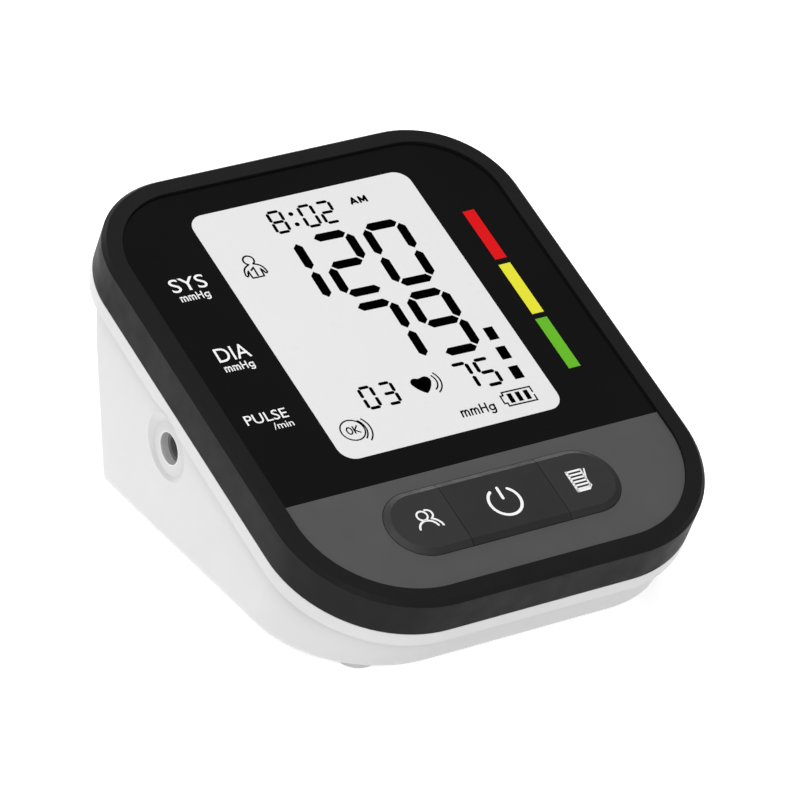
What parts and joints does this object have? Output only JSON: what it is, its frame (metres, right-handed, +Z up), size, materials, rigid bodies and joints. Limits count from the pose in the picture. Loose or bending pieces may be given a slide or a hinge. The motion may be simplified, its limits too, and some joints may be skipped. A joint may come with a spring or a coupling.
{
  "type": "upper arm blood pressure monitor",
  "caption": "Wedge-shaped desk monitor: tilted black face with display and three keys, white body with a side air port, battery door, air pump and valve inside.",
  "frame": {"origin": "on the table under the middle of the object's box, in the plane of the four feet", "axes": "+X to the right of someone reading the display, +Y to the back, +Z up; the face leans back by 20 degrees"},
  "size_m": [0.1108, 0.1304, 0.0689],
  "materials": {
    "black_abs": "fine satin moulded black",
    "lens": "clear polished sheet",
    "black_print": "black print on film",
    "grey_panel": "satin dark grey",
    "key_rubber": "satin near-black",
    "foam": "black foam",
    "display_glass": "light grey display",
    "white_sheet": "matte white",
    "white_abs": "semi-gloss white",
    "silicone": "translucent grey silicone",
    "circuit_board": "green solder mask",
    "black_epoxy": "moulded black",
    "white_epoxy": "moulded white",
    "capacitor_can": "brushed can",
    "switch_case": "moulded black",
    "screw_steel": "zinc plated",
    "foot_rubber": "grey rubber",
    "port_plastic": "dark grey moulded",
    "socket_steel": "plated steel",
    "cell_jacket": "printed jacket",
    "contact_steel": "nickel plated",
    "pump_plastic": "moulded black",
    "motor_steel": "plated steel",
    "magnet": "ferrite",
    "rotor_steel": "turned steel",
    "copper_coil": "enamelled copper",
    "manifold_plastic": "natural moulded"
  },
  "bodies": {
    "housing": {"front_cover": "black_abs", "display_lens": "lens", "display_mask": "black_print", "key_panel": "grey_panel", "display_gasket": "foam", "lcd_glass": "display_glass", "lcd_reflector": "white_sheet", "lcd_holder": "white_abs", "contact_strip": "silicone", "main_board": "circuit_board", "microcontroller": "black_epoxy", "buzzer": "black_epoxy", "board_capacitors": "capacitor_can", "pressure_sensor": "white_epoxy", "board_screws": "screw_steel", "user_switch": "switch_case", "power_switch": "switch_case", "memory_switch": "switch_case", "rear_housing": "white_abs", "housing_screws": "screw_steel", "foot_front_left": "foot_rubber", "foot_front_right": "foot_rubber", "foot_rear_left": "foot_rubber", "foot_rear_right": "foot_rubber", "air_port": "port_plastic", "usb_socket": "socket_steel", "power_board": "circuit_board", "battery_1": "cell_jacket", "battery_2": "cell_jacket", "battery_3": "cell_jacket", "battery_4": "cell_jacket", "battery_springs": "contact_steel", "battery_contacts": "contact_steel", "pump_cover": "pump_plastic", "pump_diaphragm": "silicone", "pump_crankcase": "pump_plastic", "motor_case": "motor_steel", "motor_magnets": "magnet", "motor_end_cap": "pump_plastic", "valve_frame": "motor_steel", "valve_coil": "copper_coil", "valve_seat": "pump_plastic", "air_manifold": "manifold_plastic", "port_tube": "silicone", "pump_tube": "silicone", "valve_tube": "silicone", "sensor_tube": "silicone"},
    "user_key": {"user_key": "key_rubber", "user_stem": "black_epoxy"},
    "power_key": {"power_key": "key_rubber", "power_stem": "black_epoxy"},
    "memory_key": {"memory_key": "key_rubber", "memory_stem": "black_epoxy"},
    "battery_door": {"battery_door": "white_abs"},
    "motor_rotor": {"motor_rotor": "rotor_steel"},
    "pump_rocker": {"pump_rocker": "pump_plastic"},
    "valve_plunger": {"valve_plunger": "rotor_steel"}
  },
  "joints": [
    {"name": "user_key_press", "type": "slide", "parent": "housing", "child": "user_key", "axis": [0, 0.342, -0.9397], "range_m": [0, 0.0005], "stiffness_N_per_m": 1500, "springref_m": -0.0003},
    {"name": "power_key_press", "type": "slide", "parent": "housing", "child": "power_key", "axis": [0, 0.342, -0.9397], "range_m": [0, 0.0005], "stiffness_N_per_m": 1500, "springref_m": -0.0003},
    {"name": "memory_key_press", "type": "slide", "parent": "housing", "child": "memory_key", "axis": [0, 0.342, -0.9397], "range_m": [0, 0.0005], "stiffness_N_per_m": 1500, "springref_m": -0.0003},
    {"name": "battery_door_slide", "type": "slide", "parent": "housing", "child": "battery_door", "axis": [0, 1, 0], "range_m": [0, 0.062]},
    {"name": "motor_rotor_spin", "type": "hinge", "parent": "housing", "child": "motor_rotor", "pos_m": [0.006, 0.03067, 0.0326], "axis": [1, 0, 0], "continuous": true},
    {"name": "pump_rocker_tilt", "type": "hinge", "parent": "housing", "child": "pump_rocker", "pos_m": [-0.0036, 0.03067, 0.0326], "axis": [0, 1, 0], "range_deg": [-3, 3], "stiffness_Nm_per_rad": 0.05},
    {"name": "valve_plunger_slide", "type": "slide", "parent": "housing", "child": "valve_plunger", "axis": [-1, 0, 0], "range_m": [0, 0.00098], "stiffness_N_per_m": 300, "springref_m": -0.001}
  ]
}
